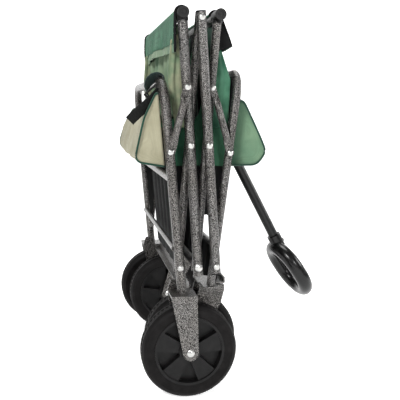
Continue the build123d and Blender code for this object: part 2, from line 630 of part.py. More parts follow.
def build_arms():
    full = 2 * ARM_HALF + ARM_HEAD
    to_bar = ARM_HALF + ARM_TO_BAR - SOCKET_R
    nodes["rear_rising_arms"] = arm(P_REAR, FOLD_ANGLE, full, INNER_Y, INNER_R,
                                    [TOP_MIDDLE], [P_REAR, CENTRE_REAR])
    nodes["rear_falling_arms"] = arm(P_MIDDLE, -FOLD_ANGLE, to_bar, OUTER_Y, OUTER_R,
                                     [P_MIDDLE, CENTRE_REAR], [], LONG_TAIL)
    nodes["front_rising_arms"] = arm(P_MIDDLE, FOLD_ANGLE, to_bar, INNER_Y, INNER_R,
                                     [], [P_MIDDLE, CENTRE_FRONT])
    nodes["front_falling_arms"] = arm(P_FRONT, -FOLD_ANGLE, full, OUTER_Y, OUTER_R,
                                      [P_FRONT, CENTRE_FRONT], [TOP_MIDDLE])
    nodes["rear_rising_plugs"] = plugs(P_REAR, FOLD_ANGLE, full, INNER_Y, INNER_R)
    nodes["front_falling_plugs"] = plugs(P_FRONT, -FOLD_ANGLE, full, OUTER_Y, OUTER_R)
    inside = INNER_Y - INNER_R
    nodes["rear_rising_rivets"] = mirrored(lambda side: pin(TOP_MIDDLE, inside, OUTER_FACE + GAP, side))
    nodes["rear_falling_rivets"] = mirrored(
        lambda side: group([pin(CENTRE_REAR, inside, OUTER_FACE, side),
                            pin(P_MIDDLE, inside, OUTER_FACE, side, BIG_HEAD_R)]))
    nodes["front_falling_rivets"] = mirrored(
        lambda side: group([pin(CENTRE_FRONT, inside, OUTER_FACE, side),
                            pin(P_FRONT, inside, OUTER_FACE, side)]))
    nodes["centre_cross_tube"] = pipe(at(P_MIDDLE, -inside), at(P_MIDDLE, inside), CENTRE_R)


def bar_set(name, point, y, half, arm_angle, radius):
    """End bar across two arm tops, with its plastic sockets and caps."""
    nodes[name + "_end_bar"] = pipe(at(point, -half), at(point, half), BAR_R)
    recess_r, depth = CAP_RECESS

    def make(side):
        arm_end = at(lean(arm_angle, -SOCKET_R, point), side * y)
        neck_end = at(lean(arm_angle, -SOCKET_R - SOCKET_NECK, point), side * y)
        cap_face = half + CAP
        shape = cross_rod(point, side * (y - SOCKET_HALF), side * cap_face, SOCKET_R)
        shape = shape - cross_rod(point, side * (cap_face - depth), side * cap_face, recess_r)
        shape = shape + cross_rod(point, side * (cap_face - depth), side * (cap_face - 0.5), CAP_BOSS_R)
        shape = shape + rod(neck_end, at(point, side * y), radius + 1.2)
        shape = shape - rod(neck_end, arm_end, radius)
        return shape - cross_rod(point, side * (y - 2 * SOCKET_HALF), side * half, BAR_R)
    nodes[name + "_bar_sockets"] = mirrored(make)


def build_end_bars():
    bar_set("rear", BAR_REAR, OUTER_Y, OUTER_FACE + 3.0, -FOLD_ANGLE, OUTER_R)
    bar_set("front", BAR_FRONT, INNER_Y, INNER_FACE + 14.0, FOLD_ANGLE, INNER_R)


def build_fabric():
    side_out, side_in = PANEL_Y
    at_post, at_arm, at_middle = SIDE_REACH
    starts = SIDE_START
    off_rear, off_front = SIDE_SET
    nodes["rear_side_panels"] = panel(P_REAR, off_rear - LEAN_REAR, FOLD_ANGLE, at_post, at_arm,
                                      starts[0], side_out)
    nodes["middle_side_panels"] = panel(P_MIDDLE, -FOLD_ANGLE, FOLD_ANGLE, at_middle, at_middle,
                                        starts[1], side_in)
    nodes["front_side_panels"] = panel(P_FRONT, LEAN_FRONT - off_front, -FOLD_ANGLE, at_post, at_arm,
                                       starts[2], side_out)
    x, z = BAR_REAR
    back, top, foot = x - BAR_R - FLAP_SET, z + FLAP_TOP, z - FLAP_DROP
    outline = [(back, top), (back, foot), (back - WALL, foot), (back - WALL, top)]
    nodes["rear_flap"] = side_plate(outline, -REAR_FLAP_Y, REAR_FLAP_Y)
    x, z = BAR_FRONT
    front, tip = x + BAR_R + FLAP_SET, x + BAR_R + FLAP_SET + FRONT_FLARE
    outer, inner = FLARE_RISE
    outline = [(front + WALL, z + FLAP_TOP), (tip, foot + outer), (tip - WALL, foot + inner),
               (front, z - FLAP_TOP)]
    nodes["front_flap"] = side_plate(outline, -FRONT_FLAP_Y, FRONT_FLAP_Y)
    nodes["rear_floor_board"] = floor_board(-1)
    nodes["front_floor_board"] = floor_board(1)


def build_front():
    nodes["front_arch"] = arch(P_FRONT, LEAN_FRONT, FRONT_FOOT, FRONT_ARCH, INNER_Y, INNER_R,
                               [P_FRONT, LINK_FRONT_LOW])
    nodes["front_cross_tubes"] = cross_tubes(P_FRONT, LEAN_FRONT, FRONT_CROSSES, INNER_Y, INNER_R)
    nodes["handle_bracket"] = handle_bracket()
    nodes["caster_heads"] = mirrored(caster_head)
    nodes["front_wall"] = leaning_slab(P_FRONT, LEAN_FRONT, *FRONT_WALL, -WALL_SET - WALL, -WALL_SET, WALL_Y)
    nodes["front_pouch"] = front_pouch()
    reach = POLE_R + BRACKET_EAR[1]
    handle_pin = cross_rod(HANDLE_PIVOT, -reach, reach, PIN_R)
    for side in SIDES:
        handle_pin = handle_pin + dome(HANDLE_PIVOT, reach, side)
    nodes["handle_pin"] = handle_pin


def build_links():
    rear_low_r, rear_high_r, front_low_r, front_high_r = LINK_EYES
    nodes["rear_links"] = link(LINK_REAR_LOW, LINK_REAR_HIGH, REAR_LINK_Y, rear_low_r, rear_high_r)
    nodes["front_links"] = link(LINK_FRONT_LOW, LINK_FRONT_HIGH, FRONT_LINK_Y, front_low_r, front_high_r)
    for name, low, high, y, depth in (("rear", LINK_REAR_LOW, LINK_REAR_HIGH, REAR_LINK_Y, OUTER_R),
                                      ("front", LINK_FRONT_LOW, LINK_FRONT_HIGH, FRONT_LINK_Y, INNER_R)):
        def make(side):
            shank = cross_rod(low, side * (y - depth), side * (y + LINK_PLATE), PIN_R)
            low_pin = shank + dome(low, y + LINK_PLATE, side)
            high_pin = cross_rod(high, side * y, side * (y + LINK_PLATE), PIN_R)
            return group([low_pin, high_pin + dome(high, y + LINK_PLATE, side)])
        nodes[name + "_link_rivets"] = mirrored(make)
        bored = []
        for solid in nodes[name + "_links"].solids():
            for point in (low, high):
                solid = solid - cross_rod(point, -2 * OUTER_Y, 2 * OUTER_Y, PIN_R)
            bored.append(solid)
        nodes[name + "_links"] = group(bored)


def build_wheels():
    for side, label in ((NEAR, "near"), (FAR, "far")):
        nodes["rear_tyre_" + label] = tyre(AXLE_REAR, side * OUTER_Y)
        nodes["rear_rim_" + label] = rim(AXLE_REAR, side * OUTER_Y, 0.0)
        nodes["front_tyre_" + label] = tyre(AXLE_FRONT, side * CASTER_Y)
        nodes["front_rim_" + label] = rim(AXLE_FRONT, side * CASTER_Y, 25.0)
        nodes["caster_fork_" + label] = caster_fork(side)
        nodes["caster_axle_" + label] = axle(AXLE_FRONT, CASTER_Y, side)


def build_handle():
    plane = handle_plane()
    grip, button = handle_grip()
    nodes["handle_outer_tube"] = plane * handle_pole()
    nodes["handle_inner_tube"] = plane * tube_piece(INNER_POLE_R, INNER_START,
                                                    POLE_LENGTH + COLLAR_GAP + COLLAR_SOCKET)
    nodes["handle_grip"] = plane * grip
    nodes["handle_button"] = plane * button


def origin_shift():
    """Move that puts the middle of the footprint at the origin."""
    boxes = [shape.bounding_box() for shape in nodes.values()]
    low = min(box.min.X for box in boxes)
    high = max(box.max.X for box in boxes)
    return Pos(-(low + high) / 2, 0, -FLOOR_Z)


def main():
    build_root()
    build_arms()
    build_end_bars()
    build_fabric()
    build_front()
    build_links()
    build_wheels()
    build_handle()
    os.makedirs("parts", exist_ok=True)
    move = origin_shift()
    print("origin shift", move.position)
    for name, shape in nodes.items():
        export_step(move * shape, "parts/" + name + ".step")


main()
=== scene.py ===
import json
from math import asin, atan2, cos, exp, hypot, pi, radians, sin, tan

import bmesh
import bpy
from mathutils import Matrix, Vector, noise


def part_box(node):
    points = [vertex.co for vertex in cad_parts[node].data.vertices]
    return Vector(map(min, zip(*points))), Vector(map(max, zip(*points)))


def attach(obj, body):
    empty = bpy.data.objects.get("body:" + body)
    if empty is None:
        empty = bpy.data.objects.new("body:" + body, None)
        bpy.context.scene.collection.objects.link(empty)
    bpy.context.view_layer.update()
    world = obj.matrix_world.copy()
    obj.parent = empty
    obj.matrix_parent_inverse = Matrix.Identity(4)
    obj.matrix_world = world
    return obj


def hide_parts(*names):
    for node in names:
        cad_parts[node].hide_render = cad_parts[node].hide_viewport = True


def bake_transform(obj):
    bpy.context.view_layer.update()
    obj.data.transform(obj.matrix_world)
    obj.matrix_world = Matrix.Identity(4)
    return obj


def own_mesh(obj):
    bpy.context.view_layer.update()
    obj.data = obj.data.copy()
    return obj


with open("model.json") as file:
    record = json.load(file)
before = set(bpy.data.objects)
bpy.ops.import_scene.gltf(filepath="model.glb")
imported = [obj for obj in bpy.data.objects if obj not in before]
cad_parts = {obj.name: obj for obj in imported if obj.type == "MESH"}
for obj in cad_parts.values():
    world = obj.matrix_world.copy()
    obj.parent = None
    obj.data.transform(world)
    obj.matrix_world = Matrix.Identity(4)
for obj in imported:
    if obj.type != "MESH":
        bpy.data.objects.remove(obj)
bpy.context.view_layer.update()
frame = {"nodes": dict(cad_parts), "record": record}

# ---------------------------------------------------------------- driving sizes, metres and degrees
CAMERA_AT = (-0.3255, -1.3668, 0.5361)
CAMERA_YAW = 11.39
CAMERA_PITCH = 8.06
CAMERA_ROLL = 0.8
CAMERA_LENS = 57.46
SKY_LIGHT = 0.07            # strength of the white sky
STAGE_GLOW = 0.62           # how brightly the white floor shines by itself
STAGE_HALF = 9.0

NEAR, FAR = -1, 1
SIDES = ((NEAR, "near"), (FAR, "far"))


# ---------------------------------------------------------------- node helpers
def new_material(name, roughness=0.5, metallic=0.0):
    """A node material and its shader, with the constant values on the shader."""
    material = bpy.data.materials.new(name)
    material.use_nodes = True
    shader = material.node_tree.nodes["Principled BSDF"]
    shader.inputs["Roughness"].default_value = roughness
    shader.inputs["Metallic"].default_value = metallic
    return material, shader


def add_node(material, kind, **values):
    node = material.node_tree.nodes.new(kind)
    for key, value in values.items():
        if key in node.inputs:
            node.inputs[key].default_value = value
        else:
            setattr(node, key, value)
    return node


def link(material, source, target):
    material.node_tree.links.new(source, target)


def place_coordinates(material):
    return add_node(material, "ShaderNodeTexCoord").outputs["Object"]


def noise_texture(material, coordinates, scale, detail=3.0, roughness=0.6):
    texture = add_node(material, "ShaderNodeTexNoise", Scale=scale, Detail=detail, Roughness=roughness)
    link(material, coordinates, texture.inputs["Vector"])
    return texture.outputs["Fac"]


def ramp(material, factor, stops):
    node = add_node(material, "ShaderNodeValToRGB")
    elements = node.color_ramp.elements
    while len(elements) < len(stops):
        elements.new(0.5)
    for element, (place, colour) in zip(elements, stops):
        element.position = place
        element.color = (*colour, 1.0)
    link(material, factor, node.inputs["Fac"])
    return node.outputs["Color"]


def mix_colour(material, factor, first, second, blend="MIX"):
    node = add_node(material, "ShaderNodeMix", data_type="RGBA", blend_type=blend)
    for socket, value in ((node.inputs[0], factor), (node.inputs[6], first), (node.inputs[7], second)):
        if hasattr(value, "is_linked"):
            link(material, value, socket)
        elif isinstance(value, (int, float)):
            socket.default_value = value
        else:
            socket.default_value = (*value, 1.0)
    return node.outputs[2]


def bump(material, shader, height, strength, distance):
    node = add_node(material, "ShaderNodeBump", Strength=strength, Distance=distance)
    link(material, height, node.inputs["Height"])
    link(material, node.outputs["Normal"], shader.inputs["Normal"])


def math_node(material, operation, first, second):
    node = add_node(material, "ShaderNodeMath", operation=operation)
    for socket, value in zip(node.inputs, (first, second)):
        if isinstance(value, (int, float)):
            socket.default_value = value
        else:
            link(material, value, socket)
    return node.outputs[0]


# ---------------------------------------------------------------- materials
def hammered_enamel():
    """Grey hammer-finish enamel: dark veins round bright flecks, with a dimpled skin."""
    material, shader = new_material("hammered_enamel", 0.32, 0.7)
    coordinates = place_coordinates(material)
    cells = add_node(material, "ShaderNodeTexVoronoi", Scale=520.0, feature="DISTANCE_TO_EDGE")
    warp = noise_texture(material, coordinates, 500.0, 2.0)
    link(material, coordinates, cells.inputs["Vector"])
    vein = math_node(material, "MULTIPLY", cells.outputs["Distance"], 2.4)
    fleck = math_node(material, "ADD", vein, math_node(material, "MULTIPLY", warp, 0.75))
    colour = ramp(material, fleck, [(0.36, (0.007, 0.0068, 0.0066)), (0.62, (0.028, 0.027, 0.026)),
                                    (0.84, (0.105, 0.103, 0.100)), (1.0, (0.36, 0.355, 0.35))])
    drift = noise_texture(material, coordinates, 9.0, 2.0)
    warm = ramp(material, drift, [(0.35, (1.0, 0.985, 0.97)), (0.7, (0.92, 0.87, 0.82))])
    link(material, mix_colour(material, 1.0, colour, warm, "MULTIPLY"), shader.inputs["Base Color"])
    bump(material, shader, fleck, 0.55, 0.0006)
    shader.inputs["Coat Weight"].default_value = 0.25
    shader.inputs["Coat Roughness"].default_value = 0.2
    return material


def zinc_plate():
    """Bright zinc plating with a fine grain."""
    material, shader = new_material("zinc_plate", 0.3, 1.0)
    coordinates = place_coordinates(material)
    grain = noise_texture(material, coordinates, 900.0, 4.0)
    colour = ramp(material, grain, [(0.3, (0.40, 0.40, 0.39)), (0.7, (0.62, 0.62, 0.60))])
    link(material, colour, shader.inputs["Base Color"])
    bump(material, shader, grain, 0.2, 0.0003)
    return material


def moulded_plastic(name, dark, light, roughness, grain_scale=1500.0, strength=0.25, specular=0.3):
    """Moulded plastic with a fine spark-eroded grain and slow scuffs."""
    material, shader = new_material(name, roughness)
    shader.inputs["Specular IOR Level"].default_value = specular
    coordinates = place_coordinates(material)
    scuff = noise_texture(material, coordinates, 60.0, 6.0)
    link(material, ramp(material, scuff, [(0.4, dark), (0.72, light)]), shader.inputs["Base Color"])
    bump(material, shader, noise_texture(material, coordinates, grain_scale, 2.0), strength, 0.0003)
    return material


def woven_cloth(name, dark, light, roughness=0.85, thread=0.0011, sheen=0.25, drift_scale=7.0, painted_shade=None):
    """Plain-weave polyester: thread ridges, slow colour drift, faint creasing darkened as painted shade,
    and painted shade along X.

    The painted shade is a darker cloth colour and the two X places between which it gives way to the full
    colour.
    """
    material, shader = new_material(name, roughness)
    coordinates = place_coordinates(material)
    waves = []
    for direction in ("X", "Y", "Z"):
        wave = add_node(material, "ShaderNodeTexWave", Scale=pi / (10.0 * thread), Distortion=0.6,
                        bands_direction=direction)
        link(material, coordinates, wave.inputs["Vector"])
        waves.append(wave.outputs["Fac"])
    weave = math_node(material, "ADD", math_node(material, "MULTIPLY", waves[1], waves[2]), waves[0])
    crease = noise_texture(material, coordinates, 28.0, 5.0, 0.55)
    drift = noise_texture(material, coordinates, drift_scale, 3.0)
    # the crease noise also darkens the colour where the creases are low: painted shade in the creases
    colour = ramp(material, math_node(material, "ADD", math_node(material, "MULTIPLY", drift, 0.7),
                                      math_node(material, "MULTIPLY", crease, 0.3)),
                  [(0.36, dark), (0.64, light)])
    # painted shade: the cloth darkens toward low X, from the darker colour to the full one
    if painted_shade:
        shadow, start, end = painted_shade
        split = add_node(material, "ShaderNodeSeparateXYZ")
        link(material, coordinates, split.inputs["Vector"])
        share = add_node(material, "ShaderNodeMapRange", interpolation_type="SMOOTHSTEP")
        share.inputs["From Min"].default_value = start
        share.inputs["From Max"].default_value = end
        link(material, split.outputs["X"], share.inputs["Value"])
        colour = mix_colour(material, share.outputs["Result"], shadow, colour)
    shade = ramp(material, weave, [(0.2, (0.72, 0.72, 0.72)), (0.9, (1.0, 1.0, 1.0))])
    link(material, mix_colour(material, 0.8, colour, shade, "MULTIPLY"), shader.inputs["Base Color"])
    height = math_node(material, "ADD", math_node(material, "MULTIPLY", weave, 0.12),
                       math_node(material, "MULTIPLY", crease, 1.0))
    bump(material, shader, height, 0.5, 0.003)
    shader.inputs["Specular IOR Level"].default_value = 0.2
    shader.inputs["Sheen Weight"].default_value = sheen
    shader.inputs["Sheen Roughness"].default_value = 0.45
    return material


def paint(material, *names):
    """Give the named CAD nodes one material."""
    for name in names:
        data = frame["nodes"][name].data
        data.materials.clear()
        data.materials.append(material)


def nodes_of(slot_name):
    """CAD nodes that the record gives a material slot."""
    return [part["node"] for part in frame["record"]["subparts"] if part["material_slot"] == slot_name]


ENAMEL = hammered_enamel()
ZINC = zinc_plate()
BLACK_PLASTIC = moulded_plastic("black_plastic", (0.003, 0.003, 0.003), (0.008, 0.0075, 0.0075), 0.42,
                                specular=0.2)
TYRE = moulded_plastic("tyre_rubber", (0.0035, 0.003, 0.003), (0.009, 0.008, 0.008), 0.6,
                       grain_scale=900.0, strength=0.3, specular=0.12)
HANDLE_PAINT = moulded_plastic("handle_enamel", (0.005, 0.005, 0.005), (0.012, 0.012, 0.012), 0.36,
                               grain_scale=700.0, strength=0.12)
GRIP = moulded_plastic("grip_plastic", (0.003, 0.003, 0.003), (0.008, 0.008, 0.008), 0.27,
                       grain_scale=1100.0, strength=0.1)
BUTTON = moulded_plastic("button_plastic", (0.30, 0.30, 0.29), (0.42, 0.42, 0.41), 0.45)
GREEN = woven_cloth("green_cloth", (0.022, 0.095, 0.052), (0.060, 0.175, 0.100), sheen=0.05)
DARK_GREEN = woven_cloth("dark_green_cloth", (0.006, 0.030, 0.018), (0.014, 0.06, 0.036))
PALE_GREEN = woven_cloth("pale_green_cloth", (0.11, 0.20, 0.12), (0.24, 0.31, 0.20), sheen=0.1)
KHAKI = woven_cloth("khaki_cloth", (0.28, 0.265, 0.18), (0.38, 0.36, 0.255), sheen=0.1)
KHAKI_SIDE = woven_cloth("khaki_side_cloth", (0.11, 0.19, 0.11), (0.40, 0.39, 0.26), sheen=0.1,
                         drift_scale=14.0)
GREEN_SIDE = woven_cloth("green_side_cloth", (0.012, 0.07, 0.040), (0.10, 0.26, 0.16), drift_scale=12.0)
# the front pouch's cloth darkens toward low X as painted shade
FRONT_CLOTH = woven_cloth("front_pouch_cloth", (0.10, 0.19, 0.12), (0.17, 0.27, 0.17), sheen=0.1,
                          painted_shade=((0.006, 0.045, 0.026), -0.045, 0.012))
BLACK_CLOTH = woven_cloth("black_cloth", (0.0025, 0.003, 0.003), (0.008, 0.0085, 0.0085), sheen=0.0)
WEBBING = woven_cloth("webbing", (0.006, 0.018, 0.016), (0.014, 0.032, 0.029), 0.7, 0.0018)

paint(ENAMEL, *nodes_of("hammered_steel"))
paint(ZINC, *nodes_of("zinc_steel"))
paint(BLACK_PLASTIC, *nodes_of("black_plastic"))
paint(TYRE, *nodes_of("tyre_rubber"))
paint(HANDLE_PAINT, *nodes_of("handle_steel"))
paint(GRIP, *nodes_of("grip_plastic"))
paint(BUTTON, *nodes_of("button_plastic"))
paint(GREEN, *nodes_of("green_fabric"))
paint(KHAKI, *nodes_of("pouch_fabric"))
paint(BLACK_CLOTH, *nodes_of("black_fabric"))
paint(WEBBING, *nodes_of("webbing"))


# ---------------------------------------------------------------- places from the frame
JOINTS = {joint["name"]: joint for joint in frame["record"]["behaviour"]["joints"]}


def joint_at(name):
    """Place of a joint's axis in the row frame."""
    return Vector(JOINTS[name]["pos_m"])


def centre_of(node):
    low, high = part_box(node)
    return (Vector(low) + Vector(high)) / 2


FOOT_REAR = joint_at("fold")
FOOT_MIDDLE = joint_at("middle_foot_pivot")
FOOT_FRONT = joint_at("front_foot_pivot")
CENTRE_REAR = joint_at("rear_centre_pivot")
CENTRE_FRONT = joint_at("front_centre_pivot")
HANDLE_PIVOT = joint_at("handle_hinge")
POLE_AXIS = Vector(JOINTS["handle_extend"]["axis"])
ARM_HALF = (CENTRE_REAR - FOOT_REAR).length
FOLDED = atan2(CENTRE_REAR.x - FOOT_REAR.x, CENTRE_REAR.z - FOOT_REAR.z)
OPENED = FOLDED + radians(JOINTS["fold"]["range_deg"][1])
RIM_DROP = 0.012            # open tub's rim below the arms' upper ends
RIM = 2 * ARM_HALF * cos(OPENED) - RIM_DROP
REAR_BAR = centre_of("rear_end_bar")
FRONT_BAR = centre_of("front_end_bar")


def lean_of(stay_joint, foot):
    """Lean of an end post from vertical, from its stay link's pivot."""
    run = joint_at(stay_joint) - foot
    return atan2(run.x, run.z)


LEAN_REAR = lean_of("rear_stay_pivot", FOOT_REAR)
LEAN_FRONT = lean_of("front_stay_pivot", FOOT_FRONT)


def post_x(foot, lean, z):
    """Middle line of an end post at a height."""
    return foot.x + (z - foot.z) * tan(lean)


# ---------------------------------------------------------------- mesh helpers
CLOTH = 0.0012              # thickness of the tub's cloth
SLACK = 1.02                # flat size over hung size of a slack sheet


def new_piece(name, mesh, material):
    """Smooth object from a bmesh, with its normals made consistent."""
    bmesh.ops.recalc_face_normals(mesh, faces=mesh.faces)
    data = bpy.data.meshes.new(name)
    mesh.to_mesh(data)
    mesh.free()
    piece = bpy.data.objects.new(name, data)
    bpy.context.scene.collection.objects.link(piece)
    data.materials.append(material)
    for face in data.polygons:
        face.use_smooth = True
    return piece


def add_grid(mesh, rows, closed=False):
    """Quads over rows of points; closed joins each row's end to its start."""
    verts = [[mesh.verts.new(point) for point in row] for row in rows]
    count = len(verts[0])
    for first, second in zip(verts, verts[1:]):
        for index in range(count if closed else count - 1):
            after = (index + 1) % count
            mesh.faces.new((first[index], first[after], second[after], second[index]))
    return verts


def grid_area(rows):
    """Area of a grid of points, from the diagonals of its quads."""
    total = 0.0
    for first, second in zip(rows, rows[1:]):
        for index in range(len(first) - 1):
            side = Vector(second[index + 1]) - Vector(first[index])
            other = Vector(second[index]) - Vector(first[index + 1])
            total += side.cross(other).length / 2
    return total


def cloth_sheet(name, point, across, along, material, thickness=CLOTH):
    """Sheet of cloth from point(u, v), given real thickness; also returns its area."""
    mesh = bmesh.new()
    rows = [[point(i / across, j / along) for j in range(along + 1)] for i in range(across + 1)]
    add_grid(mesh, rows)
    bmesh.ops.recalc_face_normals(mesh, faces=mesh.faces)
    bmesh.ops.solidify(mesh, geom=mesh.faces[:], thickness=thickness)
    return new_piece(name, mesh, material), grid_area(rows)


def cord_line(name, points, radius, material, sides=8):
    """Round piping or rolled hem along a line of points, closed at both ends."""
    mesh = bmesh.new()
    points = [Vector(point) for point in points]
    ring = [radius * Vector((cos(2 * pi * k / sides), sin(2 * pi * k / sides), 0.0)) for k in range(sides)]
    rows = []
    for index, point in enumerate(points):
        run = points[min(index + 1, len(points) - 1)] - points[max(index - 1, 0)]
        turn = run.to_track_quat("Z", "Y")
        rows.append([point + turn @ spoke for spoke in ring])
    verts = add_grid(mesh, rows, closed=True)
    mesh.faces.new(verts[0])
    mesh.faces.new(verts[-1])
    return new_piece(name, mesh, material)


def declare_sheet(piece, size, area):
    """Work out a sheet's area capped at its flat size; the result is not kept."""
    width, length = size
    min(area, width * length)


def unevenness(point, size, depth, seed):
    """Slow cloth unevenness at a place."""
    return depth * noise.noise(Vector(point) / size + Vector((seed * 7.3, seed * 3.1, seed * 5.7)))


def ease(value):
    """Smooth rise from 0 to 1, the curve that a blend between bodies follows."""
    value = max(0.0, min(1.0, value))
    return value * value * (3.0 - 2.0 * value)


def ease_inverse(share):
    """Place between two bodies where their blend reaches this share."""
    return 0.5 - sin(asin(1.0 - 2.0 * share) / 3.0)


def along_path(path, share):
    """Point at a share of a side-view path's length."""
    spans = [hypot(b[0] - a[0], b[1] - a[1]) for a, b in zip(path, path[1:])]
    left = share * sum(spans)
    for (start, end), span in zip(zip(path, path[1:]), spans):
        if left <= span:
            t = left / span
            return start[0] + t * (end[0] - start[0]), start[1] + t * (end[1] - start[1])
        left -= span
    return path[-1]


def round_corners(corners, radius, steps=6):
    """Side-view path through corners, each inner one rounded by a quadratic curve."""
    path = [corners[0]]
    for before, corner, after in zip(corners, corners[1:], corners[2:]):
        ends = []
        for other in (before, after):
            gap = hypot(other[0] - corner[0], other[1] - corner[1])
            share = min(radius / gap, 0.45)
            ends.append(tuple(here + share * (there - here) for here, there in zip(corner, other)))
        for step in range(steps + 1):
            t = step / steps
            path.append(tuple((1 - t) ** 2 * a + 2 * t * (1 - t) * b + t * t * c
                              for a, b, c in zip(ends[0], corner, ends[1])))
    path.append(corners[-1])
    return path


# ---------------------------------------------------------------- tub side walls
FAN_DEPTH = 0.005           # how far a fan slants inward from its first tube to its second
FAN_START = 0.013           # radius at which a fan begins, beyond the pivot
FAN_HEM = 0.020             # least height of green cloth above the painted shade
FAN_ACROSS, FAN_ALONG = 30, 24
PAINTED_SHADE_TOP = 0.185           # tub cloth nearer than this to the foot pivots is black: painted shade below the pouches
FAN_LAYERS = {"post": 0.1985, "middle": 0.1915, "low": 0.1845}     # distance from the wagon's middle


def paint_shade_near_apex(piece, apex, limit, shade_material):
    """Paint a cloth's faces nearer than a distance from its apex with another cloth, as painted shade."""
    piece.data.materials.append(shade_material)
    for face in piece.data.polygons:
        if hypot(face.center.x - apex.x, face.center.z - apex.z) < limit:
            face.material_index = 1


def fan_mesh(point):
    """Closed sheet from point(depth, v), its two faces one cloth thickness apart; also returns its area."""
    steps = [j / FAN_ALONG for j in range(FAN_ALONG + 1)]
    outer, loops = [], []
    for i in range(FAN_ACROSS + 1):
        depth = FAN_DEPTH * ease_inverse(i / FAN_ACROSS)
        front = [point(depth, v) for v in steps]
        back = [point(depth + CLOTH, v) for v in steps]
        outer.append(front)
        loops.append(front + back[::-1])
    mesh = bmesh.new()
    verts = add_grid(mesh, loops, closed=True)
    for row in (verts[0], verts[-1]):
        for j in range(FAN_ALONG):
            mesh.faces.new((row[j], row[j + 1], row[-2 - j], row[-1 - j]))
    return mesh, grid_area(outer)


def fan_panel(name, apex, angles, reach, side, layer, material):
    """Side-wall cloth between two tubes that share a pivot, laid out like a fan between their angles.

    Depth sets how far a point follows the second tube, so each face takes its angles from its own depth.
    """
    def point(depth, v):
        u = ease(depth / FAN_DEPTH)
        angle = angles[0] + (angles[1] - angles[0]) * u
        waist = min(PAINTED_SHADE_TOP, reach(u) - FAN_HEM)
        if v < 0.5:
            radius = FAN_START + (waist - FAN_START) * 2 * v
        else:
            radius = waist + (reach(u) - waist) * (2 * v - 1)
        return Vector((apex.x + radius * sin(angle), side * (layer - depth), apex.z + radius * cos(angle)))

    mesh, area = fan_mesh(point)
    piece = new_piece(name, mesh, material)
    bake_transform(piece)
    # black cloth near the foot pivots is painted shade below the pouches
    paint_shade_near_apex(piece, apex, PAINTED_SHADE_TOP, BLACK_CLOTH)
    length = max(reach(0.0), reach(1.0), reach(0.5))
    declare_sheet(piece, (2 * area / length, length), area)
    return piece


def rim_reach(start, end):
    """Reach of a fan whose edges open to two angles, so that its top edge is level when open."""
    return lambda u: RIM / cos(start + (end - start) * u)


def low_reach(u):
    """Reach of a fan below a crossing: the same at all its angles, down to the foot pivots when open."""
    return ARM_HALF * cos(OPENED)


def side_walls():
    """Five overlapping cloth panels a side, each sewn to two tubes of the folding frame."""
    post, middle, low = FAN_LAYERS["post"], FAN_LAYERS["middle"], FAN_LAYERS["low"]
    below = (pi + FOLDED, pi - FOLDED)
    for side, label in SIDES:
        rear = fan_panel("rear_side_cloth_" + label, FOOT_REAR,
                         (LEAN_REAR, FOLDED), rim_reach(LEAN_REAR, OPENED), side, post, GREEN)
        front = fan_panel("front_side_cloth_" + label, FOOT_FRONT,
                          (-FOLDED, LEAN_FRONT), rim_reach(-OPENED, LEAN_FRONT), side, post, GREEN)
        centre = fan_panel("middle_side_cloth_" + label, FOOT_MIDDLE,
                           (-FOLDED, FOLDED), rim_reach(-OPENED, OPENED), side, middle, GREEN)
        # the low fans are black cloth all over: painted shade below the pouches
        fan_panel("rear_low_cloth_" + label, CENTRE_REAR, below,
                  low_reach, side, low, BLACK_CLOTH)
        fan_panel("front_low_cloth_" + label, CENTRE_FRONT, below,
                  low_reach, side, low, BLACK_CLOTH)
        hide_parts("rear_side_panels")
        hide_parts("front_side_panels")
        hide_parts("middle_side_panels")


# ---------------------------------------------------------------- cloth on the end bars
BAR_WRAP = 0.0116           # radius of cloth wrapped round an end bar
WRAP_START, WRAP_STEP, WRAP_STEPS = -1.3, 0.22, 14
FALL_STEPS = 10
HEM_BAND = 0.017            # height of a flap's pale hem band
FLAP_ACROSS = 110
STITCH_STEPS = 90
BINDING_STEPS = 40


def flap_path(bar, direction, drop, flare):
    """Side profile of a flap: up over the end bar, then down its outer side."""
    path = [(bar.x + direction * BAR_WRAP * sin(angle), bar.z + BAR_WRAP * cos(angle))
            for angle in (WRAP_START + WRAP_STEP * step for step in range(WRAP_STEPS))]
    return path + [(bar.x + direction * (BAR_WRAP + flare * share), bar.z - drop * share)
                   for share in (step / FALL_STEPS for step in range(1, FALL_STEPS + 1))]


